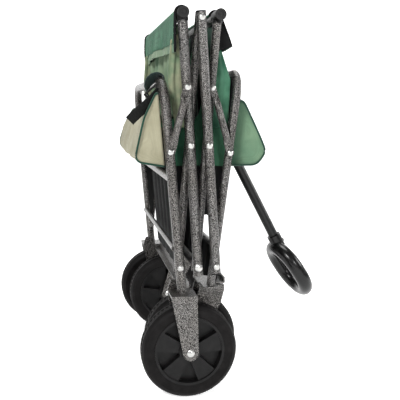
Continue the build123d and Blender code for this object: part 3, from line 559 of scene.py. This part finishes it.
def end_flap(name, node, bar, direction, half, drop, flare, body, materials, seed):
    """Flap sewn round an end bar, with a pale hem band and bound ends."""
    cloth_material, hem_material, edge_material = materials
    path = flap_path(bar, direction, drop, flare)
    hem_start = 1.0 - HEM_BAND / (drop + 4 * BAR_WRAP)

    def point(u, v, lift=0.0):
        y = half * (2 * u - 1)
        x, z = along_path(path, v)
        hang = ease((v - 0.35) / 0.65)
        ripple = 0.0026 * sin(19.0 * y + seed) + 0.0014 * sin(47.0 * y + 2.0 * seed)
        x += direction * (lift + hang * (ripple + unevenness((y, 0.0, z), 0.05, 0.004, seed)))
        return x, y, z + hang * 0.004 * sin(8.0 * y + seed)

    def hem_point(u, v):
        return point(u, hem_start + (1.0 - hem_start) * v, 0.0012)

    cloth, area = cloth_sheet(name, point, FLAP_ACROSS, 40, cloth_material)
    hem, _ = cloth_sheet(name + "_hem", hem_point, FLAP_ACROSS, 6, hem_material, 0.0016)
    seam = [point(i / STITCH_STEPS, hem_start, 0.0022) for i in range(STITCH_STEPS + 1)]
    extras = [hem, cord_line(name + "_stitch", seam, 0.0007, cloth_material, 6)]
    for end, label in ((0.0, "near"), (1.0, "far")):
        edge = [point(end, i / BINDING_STEPS, 0.0004) for i in range(BINDING_STEPS + 1)]
        extras.append(cord_line(name + "_binding_" + label, edge, 0.0026, edge_material))
    for piece in [cloth] + extras:
        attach(piece, body)
    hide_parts(node)
    flat = (2 * half, SLACK * area / (2 * half))
    declare_sheet(cloth, flat, area)


CHEEK_TOP, CHEEK_LOW, CHEEK_TIP = (0.004, -0.002), (0.002, -0.062), (0.031, -0.052)
CHEEK_SIDE = 0.2035
CHEEK_FLAT = (0.045, 0.065)
SHOULDER_DROP = 0.17


def flap_cheeks():
    """Black triangles that close the ends of the front flap."""
    for side, label in SIDES:
        def point(u, v):
            x, z = (top + (low + u * (tip - low) - top) * v
                    for top, low, tip in zip(CHEEK_TOP, CHEEK_LOW, CHEEK_TIP))
            bow = 0.003 * sin(pi * u) * v
            return FRONT_BAR.x + x, side * (CHEEK_SIDE - bow), FRONT_BAR.z + z

        cheek, area = cloth_sheet("front_flap_cheek_" + label, point, 14, 20, BLACK_CLOTH, 0.0016)
        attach(cheek, "front_rising")
        declare_sheet(cheek, CHEEK_FLAT, area)


def shoulder_cloth(name, edges, side_y, body, material, seed):
    """Slack corner of the tub wall hanging from an arm's top; edges are its rear and front outlines."""
    for side, label in SIDES:
        def point(u, v):
            (x0, z0), (x1, z1) = along_path(edges[0], v), along_path(edges[1], v)
            x, z = x0 + (x1 - x0) * u, z0 + (z1 - z0) * u
            slack = sin(pi * min(1.0, 0.12 + v)) * sin(pi * (0.1 + 0.8 * u))
            crease = 0.0016 * sin(13.0 * u + 4.0 * v + seed) + unevenness((x, 0.0, z), 0.03, 0.0012, seed)
            return FOOT_REAR.x + x, side * (side_y + slack * crease), FOOT_REAR.z + z

        cloth, area = cloth_sheet(name + "_" + label, point, 30, 50, material)
        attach(cloth, body)
        flat = (2 * area / SHOULDER_DROP, SHOULDER_DROP)
        declare_sheet(cloth, flat, area)


LINER_BENDS = 3.3           # how far a liner's folds wander from even spacing


def liner(name, bar, top, foot, half, body, material, folds, depth, seed):
    """Slack tub cloth below an end bar, in upright folds, carried with the bar's body."""
    inward = 1.0 if bar.x < FOOT_MIDDLE.x else -1.0

    def point(u, v):
        y = half * (2 * u - 1)
        swell = 0.35 + 0.65 * sin(pi * min(1.0, 0.15 + v))
        fold = depth * swell * sin(folds * pi * u + 2.2 * sin(LINER_BENDS * u + seed) + 0.8 * v)
        fold += unevenness((y, v * 0.1, 0.2), 0.05, 0.005, seed)
        x = top.x + (foot.x - top.x) * v + fold
        return x, y, top.z + (foot.z - top.z) * v

    cloth, area = cloth_sheet(name, point, 170, 24, material)
    # faces deep in the fold valleys get black cloth: painted shade in the fold gaps
    cloth.data.materials.append(BLACK_CLOTH)
    for face in cloth.data.polygons:
        share = (top.z - face.center.z) / (top.z - foot.z)
        valley = inward * (face.center.x - top.x - (foot.x - top.x) * share)
        if valley > 0.25 * depth:
            face.material_index = 1
    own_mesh(cloth)
    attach(cloth, body)
    length = (top - foot).length
    declare_sheet(cloth, (1.01 * area / length, length), area)


# ---------------------------------------------------------------- tub end walls
WALL_HALF = 0.176
STRIP_HALF = 0.2030
RIM_STEPS = 90
TURNED_END = 0.035          # share of a strip's half width that turns out along its post


def end_wall(name, node, foot, lean, levels, offset, half, body, material, folds, seed):
    """Tub end wall between the posts: slack cloth in a few upright folds, with a bound top edge."""
    low, high = levels
    inward = 1.0 if offset > 0 else -1.0

    def point(u, v):
        y = half * (2 * u - 1)
        z = foot.z + low + (high - low) * v
        slack = sin(pi * u) ** 0.5 * (0.25 + 0.75 * sin(pi * v))
        fold = 0.5 + 0.5 * sin(folds * pi * u + 1.6 * sin(2.6 * u + seed) + 0.5 * v)
        push = slack * (0.007 * fold ** 2 + unevenness((y, 0.0, z), 0.06, 0.003, seed))
        return post_x(foot, lean, z) + offset + inward * max(push, -0.001), y, z

    cloth, area = cloth_sheet(name, point, 180, 40, material)
    top_edge = [point(i / RIM_STEPS, 1.0) for i in range(RIM_STEPS + 1)]
    rim = cord_line(name + "_binding", top_edge, 0.0022, BLACK_CLOTH)
    for piece in (cloth, rim):
        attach(piece, body)
    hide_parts(node)
    flat = (SLACK * max(2 * half, area / (high - low)), SLACK * (high - low))
    declare_sheet(cloth, flat, area)


def hung_strip(name, foot, lean, levels, offset, half, body, material, seed):
    """Band of black cloth hanging between the posts, its ends turned out along them."""
    low, high = levels

    def point(u, v):
        y = half * (2 * u - 1)
        z = foot.z + low + (high - low) * v
        end = max(0.0, (abs(2 * u - 1) - (1.0 - TURNED_END)) / TURNED_END)
        x = post_x(foot, lean, z) + offset * (1.0 - 0.75 * end)
        return x + (1.0 - end) * unevenness((y, 0.0, z), 0.05, 0.003, seed), y, z

    cloth, area = cloth_sheet(name, point, 120, 20, material)
    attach(cloth, body)
    flat = (SLACK * 2 * half, 1.03 * (high - low))
    declare_sheet(cloth, flat, area)


# ---------------------------------------------------------------- floor boards
BOARD_THICK = 0.005
BOARD_EDGE = 0.004          # board's lower edge above its hinge line
BOARD_HALF_STEPS, PAD_HALF_STEPS = 22, 30
QUILT_LINES = (-0.33, 0.33)
HINGE_STEPS = 20


def floor_pad(node, body, direction):
    """Stiff board in a padded cloth sleeve: sewn edges and two lines of quilting."""
    low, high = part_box(node)
    hinge = joint_at(body + "_hinge")
    outer = high[0] if direction > 0 else low[0]
    centre = outer - direction * BOARD_THICK / 2
    foot, head = hinge.z + BOARD_EDGE, high[2]
    half = high[1]
    mesh = bmesh.new()
    for face in (-1, 1):
        rows = []
        for i in range(2 * BOARD_HALF_STEPS + 1):
            u = i / BOARD_HALF_STEPS - 1.0
            row = []
            for j in range(2 * PAD_HALF_STEPS + 1):
                v = j / PAD_HALF_STEPS - 1.0
                crown = (1.0 - abs(u) ** 16) * (1.0 - abs(v) ** 16)
                quilt = 1.0 - 0.4 * sum(exp(-((v - line) / 0.03) ** 2) for line in QUILT_LINES)
                row.append((centre + face * BOARD_THICK / 2 * crown * quilt, u * half,
                            foot + (head - foot) * (v + 1.0) / 2))
            rows.append(row)
        add_grid(mesh, rows)
    bmesh.ops.remove_doubles(mesh, verts=mesh.verts, dist=2e-5)
    pad = new_piece(body + "_pad", mesh, BLACK_CLOTH)
    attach(pad, body)
    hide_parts(node)
    hinge_line = [(hinge.x, direction * half * t / HINGE_STEPS, hinge.z) for t in range(HINGE_STEPS + 1)]
    roll = cord_line(body + "_hinge_roll", hinge_line, 0.0023, BLACK_CLOTH)
    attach(roll, body)


# ---------------------------------------------------------------- pouches
REAR_POUCH_HALF = 0.2255
FRONT_POUCH_HALF = 0.200
POUCH_AROUND, POUCH_ACROSS = 64, 90
GUSSET_STEPS = 8
POUCH_FOOT = 0.1865         # pouches' lower edge above the foot pivots
REAR_POST_GAP, FRONT_POST_GAP = 0.0104, 0.0095
POLE_CLEAR = 0.028          # half width pressed in behind the handle's pole
POLE_GAP = 0.0155


def pouch_rows(section, half, direction, seed):
    """Closed side-view sections across a pouch, filled out a little between its ends."""
    rows = []
    for i in range(POUCH_ACROSS + 1):
        place = 2 * i / POUCH_ACROSS - 1
        y = half * place
        path = section(y)
        pull = 1.0 - abs(place) ** 10
        row = []
        for k in range(POUCH_AROUND):
            share = k / (POUCH_AROUND - 1)
            x, z = along_path(path, share)
            belly = sin(pi * share)
            x += direction * pull * belly * (0.003 + unevenness((y, x, z), 0.045, 0.009, seed))
            z += pull * belly * unevenness((y, z, x), 0.06, 0.006, seed + 2)
            row.append((x, y, z))
        rows.append(row)
    return rows


def add_gusset(mesh, ring, side, seed):
    """Close a pouch's end with a slightly dented gusset."""
    middle = sum((vert.co for vert in ring), Vector()) / len(ring)
    previous = ring
    for step in range(1, GUSSET_STEPS + 1):
        share = step / GUSSET_STEPS
        dent = -side * 0.005 * sin(pi / 2 * min(1.0, 2.0 * share))
        inner = []
        for vert in ring:
            place = vert.co.lerp(middle, share * 0.96)
            place.y = vert.co.y + dent + unevenness(place, 0.03, 0.003, seed)
            inner.append(mesh.verts.new(place))
        for k in range(len(ring)):
            after = (k + 1) % len(ring)
            mesh.faces.new((previous[k], previous[after], inner[after], inner[k]))
        previous = inner
    mesh.faces.new(previous)


def pouch(name, node, section, half, body, material, piping_material, seed, direction):
    """Lofted cloth pouch with sewn end gussets, piped along its end seams, foot and rim."""
    rows = pouch_rows(section, half, direction, seed)
    mesh = bmesh.new()
    verts = add_grid(mesh, rows, closed=True)
    add_gusset(mesh, verts[0], NEAR, seed)
    add_gusset(mesh, verts[-1], FAR, seed)
    bag = new_piece(name, mesh, material)
    foot_index = min(range(POUCH_AROUND), key=lambda k: rows[POUCH_ACROSS // 4][k][2])
    seams = [cord_line(name + "_seam_near", rows[0], 0.0019, piping_material),
             cord_line(name + "_seam_far", rows[-1], 0.0019, piping_material),
             cord_line(name + "_hem", [row[foot_index] for row in rows], 0.0016, piping_material),
             cord_line(name + "_rim", [row[1] for row in rows], 0.0028, piping_material)]
    for piece in [bag] + seams:
        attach(piece, body)
    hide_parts(node)


def rear_section(y):
    """Rear pouch: a deep wedge, slumped a little toward the far end."""
    slump = ease((y + REAR_POUCH_HALF) / (2 * REAR_POUCH_HALF))
    top = FOOT_REAR.z + 0.3165 - 0.028 * slump
    back = post_x(FOOT_REAR, LEAN_REAR, top) - REAR_POST_GAP
    foot_z = FOOT_REAR.z + POUCH_FOOT
    back_foot = post_x(FOOT_REAR, LEAN_REAR, foot_z) - REAR_POST_GAP
    corner = (FOOT_REAR.x - 0.0815 + 0.005 * slump, FOOT_REAR.z + 0.2035 + 0.006 * slump)
    bulge = (FOOT_REAR.x - 0.0665 + 0.003 * slump, FOOT_REAR.z + 0.272 - 0.020 * slump)
    return round_corners([(back, top), (back - 0.005, top + 0.0005), bulge, corner,
                          (corner[0] + 0.006, foot_z + 0.0075), (back_foot, foot_z)], 0.009)


def front_section(y):
    """Front pouch: pressed in behind the handle's pole along its middle."""
    open_part = ease((abs(y) - POLE_CLEAR) / 0.034)
    top = FOOT_FRONT.z + 0.243 + 0.064 * ease((abs(y) - POLE_CLEAR) / 0.02)
    foot_z = FOOT_FRONT.z + POUCH_FOOT
    back = post_x(FOOT_FRONT, LEAN_FRONT, top) + FRONT_POST_GAP
    back_foot = post_x(FOOT_FRONT, LEAN_FRONT, foot_z) + FRONT_POST_GAP
    corners = [(back, top), (back + 0.009, top - 0.001), (FOOT_REAR.x + 0.158, FOOT_REAR.z + 0.238),
               (FOOT_REAR.x + 0.1695, FOOT_REAR.z + 0.212), (FOOT_REAR.x + 0.152, FOOT_REAR.z + 0.187),
               (back_foot, foot_z)]
    pressed = []
    for x, z in corners:
        pole_x = HANDLE_PIVOT.x + (HANDLE_PIVOT.z - z) * POLE_AXIS.x / -POLE_AXIS.z - POLE_GAP
        limit = max(post_x(FOOT_FRONT, LEAN_FRONT, z) + FRONT_POST_GAP, pole_x)
        pressed.append((x + (1.0 - open_part) * (min(x, limit) - x), z))
    return round_corners(pressed, 0.012)


# ---------------------------------------------------------------- strap and buckle
STRAP_WIDTH = 0.026
LOOP_FLAT, LOOP_TURNED = (0.004, 0.022, -0.010), (0.007, 0.016, -0.016)
TAIL_FLAT = (0.0140, 0.014, -0.0130)
BUCKLE_TURN = 48.0
UPRIGHT_BAR, CROSS_BAR = (0.004, 0.005, 0.030), (0.026, 0.0045, 0.004)


def smooth_between(values, t):
    """Catmull-Rom curve between the middle two of four values."""
    a, b, c, d = values
    slope = c - a
    bend = 2 * a - 5 * b + 4 * c - d
    twist = 3 * b - a - 3 * c + d
    return 0.5 * (2 * b + slope * t + bend * t * t + twist * t ** 3)


def ribbon(name, centre_line, widths, material, thickness=0.0018):
    """Flat webbing along listed points, its width given as a vector at each."""
    count = len(centre_line) - 1

    def point(u, v):
        place = v * count
        index = min(int(place), count - 1)
        t = place - index
        p0, p1 = centre_line[max(index - 1, 0)], centre_line[index]
        p2, p3 = centre_line[index + 1], centre_line[min(index + 2, count)]
        centre = [smooth_between(values, t) for values in zip(p0, p1, p2, p3)]
        wide = Vector(widths[index]).lerp(Vector(widths[index + 1]), t)
        edge = 0.0004 * sin(300.0 * v) if 0.02 < u < 0.98 else 0.0
        return tuple(Vector(centre) + (u - 0.5) * wide + Vector((0.0, edge, 0.0)))

    return cloth_sheet(name, point, 10, 16 * count, material, thickness)


def strap_and_buckle():
    """Webbing looped over the rear arch's near corner, buckled, with a stiff tail over the pouch."""
    low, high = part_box("rear_strap")
    loop_y = low[1] - 0.012
    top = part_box("rear_arch")[1][2]
    x = (low[0] + high[0]) / 2
    loop_line = [(x + 0.010, loop_y, top - 0.018), (x + 0.009, loop_y, top - 0.004),
                 (x - 0.001, loop_y, top + 0.0030), (x - 0.014, loop_y - 0.002, top - 0.003),
                 (x - 0.0235, loop_y - 0.006, top - 0.013), (x - 0.027, loop_y - 0.012, top - 0.026),
                 (x - 0.022, loop_y - 0.016, top - 0.037)]
    loop_widths = [LOOP_FLAT] * 3 + [LOOP_TURNED] * 4
    loop, area = ribbon("strap_loop", loop_line, loop_widths, WEBBING)
    tail_line = [(x - 0.003, loop_y - 0.027, top - 0.026), (x - 0.016, loop_y - 0.031, top - 0.041),
                 (x - 0.033, loop_y - 0.033, top - 0.056), (x - 0.048, loop_y - 0.027, top - 0.070),
                 (x - 0.0565, loop_y - 0.016, top - 0.0800)]
    tail, tail_area = ribbon("strap_tail", tail_line, [TAIL_FLAT] * len(tail_line), BLACK_CLOTH)
    buckle_piece = buckle_frame(Vector((x - 0.012, loop_y - 0.022, top - 0.032)))
    for piece in (loop, tail, buckle_piece):
        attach(piece, "rear_frame")
    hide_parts("rear_strap")
    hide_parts("rear_buckle")
    declare_sheet(loop, (STRAP_WIDTH, area / 0.025), area)
    declare_sheet(tail, (STRAP_WIDTH, tail_area / 0.024), tail_area)


def buckle_frame(centre):
    """Two-bar slide buckle: a rounded frame with a middle bar."""
    mesh = bmesh.new()
    frame_place = Matrix.Translation(centre) @ Matrix.Rotation(radians(BUCKLE_TURN), 4, "Y")
    bars = [((offset, 0.0, 0.0), UPRIGHT_BAR) for offset in (-0.011, 0.0, 0.011)]
    bars += [((0.0, 0.0, offset), CROSS_BAR) for offset in (-0.0135, 0.0135)]
    for offset, size in bars:
        bar_place = frame_place @ Matrix.Translation(offset) @ Matrix.Diagonal((*size, 1.0))
        bmesh.ops.create_cube(mesh, size=1.0, matrix=bar_place)
    piece = new_piece("strap_buckle", mesh, BLACK_PLASTIC)
    bevel = piece.modifiers.new("rounding", "BEVEL")
    bevel.width = 0.001
    bevel.segments = 3
    return piece


# ---------------------------------------------------------------- making the soft goods
FLAP_CLOTHS = (GREEN, PALE_GREEN, BLACK_CLOTH)
side_walls()
end_flap("rear_flap_cloth", "rear_flap", REAR_BAR, -1, half=0.231, drop=0.064, flare=0.002,
         body="rear_falling", materials=FLAP_CLOTHS, seed=1.0)
end_flap("front_flap_cloth", "front_flap", FRONT_BAR, 1, half=0.190, drop=0.054, flare=0.019,
         body="front_rising", materials=FLAP_CLOTHS, seed=4.0)
flap_cheeks()
REAR_SHOULDER = (((-0.016, 0.412), (-0.020, 0.340), (-0.006, 0.256)),
                 ((0.004, 0.430), (0.006, 0.340), (0.014, 0.256)))
FRONT_SHOULDER = (((0.066, 0.445), (0.060, 0.350), (0.056, 0.256)),
                  ((0.0685, 0.445), (0.0690, 0.404), (0.0790, 0.395), (0.0965, 0.345), (0.0935, 0.256)))
shoulder_cloth("rear_shoulder", REAR_SHOULDER, 0.2018, "rear_falling", KHAKI_SIDE, seed=2.0)
shoulder_cloth("front_shoulder", FRONT_SHOULDER, 0.2016, "front_rising", GREEN_SIDE, seed=5.0)
liner("rear_liner", REAR_BAR, Vector((REAR_BAR.x + 0.004, 0.0, REAR_BAR.z - 0.012)),
      Vector((FOOT_REAR.x - 0.001, 0.0, FOOT_REAR.z + 0.275)), half=0.196,
      body="rear_falling", material=PALE_GREEN, folds=13, depth=0.008, seed=1.5)
liner("front_liner", FRONT_BAR, Vector((FRONT_BAR.x - 0.002, 0.0, FRONT_BAR.z - 0.012)),
      Vector((FOOT_FRONT.x + 0.004, 0.0, FOOT_FRONT.z + 0.268)), half=0.186,
      body="front_rising", material=DARK_GREEN, folds=11, depth=0.007, seed=3.5)
# the rear wall's black cloth is painted shade below the rear pouch
end_wall("rear_wall_cloth", "rear_wall", FOOT_REAR, LEAN_REAR, levels=(-0.028, 0.250), offset=0.011,
         half=WALL_HALF, body="rear_frame", material=BLACK_CLOTH, folds=12, seed=6.0)
end_wall("front_wall_cloth", "front_wall", FOOT_FRONT, LEAN_FRONT, levels=(0.084, 0.272), offset=-0.011,
         half=WALL_HALF, body="front_frame", material=BLACK_CLOTH, folds=12, seed=7.0)
hung_strip("front_upper_strip", FOOT_FRONT, LEAN_FRONT, levels=(0.270, 0.351), offset=-0.0100,
           half=STRIP_HALF, body="front_frame", material=BLACK_CLOTH, seed=8.0)
hung_strip("front_low_strip", FOOT_FRONT, LEAN_FRONT, levels=(-0.026, 0.034), offset=-0.0115,
           half=STRIP_HALF, body="front_frame", material=BLACK_CLOTH, seed=9.0)
floor_pad("rear_floor_board", "rear_floor", -1)
floor_pad("front_floor_board", "front_floor", 1)
pouch("rear_pouch_cloth", "rear_pouch", rear_section, REAR_POUCH_HALF, "rear_frame", KHAKI, DARK_GREEN,
      seed=1.0, direction=-1)
pouch("front_pouch_cloth", "front_pouch", front_section, FRONT_POUCH_HALF, "front_frame", FRONT_CLOTH,
      DARK_GREEN, seed=2.0, direction=1)
strap_and_buckle()


# ---------------------------------------------------------------- stage, lights and camera
def make_stage():
    """White floor that curves up into a glowing white backdrop."""
    material, shader = new_material("studio_white", 1.0)
    shader.inputs["Base Color"].default_value = (0.90, 0.90, 0.90, 1.0)
    shader.inputs["Specular IOR Level"].default_value = 0.0
    shader.inputs["Emission Color"].default_value = (1.0, 1.0, 1.0, 1.0)
    shader.inputs["Emission Strength"].default_value = STAGE_GLOW
    profile = [(-STAGE_HALF, 0.0), (2.2, 0.0), (2.6, 0.06), (2.9, 0.3), (3.0, 0.8), (3.0, 4.0)]
    mesh = bmesh.new()
    rows = [[mesh.verts.new((x, y, z)) for x in (-STAGE_HALF, STAGE_HALF)] for y, z in profile]
    for first, second in zip(rows, rows[1:]):
        mesh.faces.new((first[0], first[1], second[1], second[0]))
    data = bpy.data.meshes.new("stage_floor")
    mesh.to_mesh(data)
    mesh.free()
    stage = bpy.data.objects.new("stage_floor", data)
    bpy.context.scene.collection.objects.link(stage)
    data.materials.append(material)


def area_light(name, place, target, size, power):
    """Square area light aimed at a target."""
    data = bpy.data.lights.new(name, "AREA")
    data.size = size
    data.energy = power
    lamp = bpy.data.objects.new(name, data)
    lamp.location = place
    lamp.rotation_euler = (Vector(target) - Vector(place)).to_track_quat("-Z", "Y").to_euler()
    bpy.context.scene.collection.objects.link(lamp)


def make_lights():
    """Faint white sky and four soft area lights."""
    world = bpy.data.worlds.new("studio")
    world.use_nodes = True
    world.node_tree.nodes["Background"].inputs["Color"].default_value = (1.0, 1.0, 1.0, 1.0)
    world.node_tree.nodes["Background"].inputs["Strength"].default_value = SKY_LIGHT
    bpy.context.scene.world = world
    area_light("key", (-1.5, -2.0, 1.9), (0.0, -0.2, 0.40), 0.6, 62.0)
    area_light("front", (0.6, -2.4, 1.1), (0.0, 0.0, 0.35), 0.5, 20.0)
    area_light("top", (0.2, 0.4, 2.4), (0.0, 0.0, 0.3), 1.0, 30.0)
    area_light("rim", (1.9, -0.2, 1.1), (0.0, 0.0, 0.4), 0.8, 22.0)


def make_camera():
    """Camera on the wagon's near side, turned, tipped down and rolled a little."""
    data = bpy.data.cameras.new("photo_camera")
    data.lens = CAMERA_LENS
    data.sensor_width = 36.0
    camera = bpy.data.objects.new("photo_camera", data)
    yaw, pitch, roll = (radians(angle) for angle in (CAMERA_YAW, CAMERA_PITCH, CAMERA_ROLL))
    forward = Vector((sin(yaw) * cos(pitch), cos(yaw) * cos(pitch), -sin(pitch)))
    right = Vector((cos(yaw), -sin(yaw), 0.0))
    up = right.cross(forward)
    right, up = right * cos(roll) + up * sin(roll), up * cos(roll) - right * sin(roll)
    turn = Matrix((right, up, -forward)).transposed().to_4x4()
    camera.matrix_world = Matrix.Translation(CAMERA_AT) @ turn
    bpy.context.scene.collection.objects.link(camera)
    bpy.context.scene.camera = camera


make_stage()
make_lights()
make_camera()
bpy.context.scene.view_settings.view_transform = "Standard"
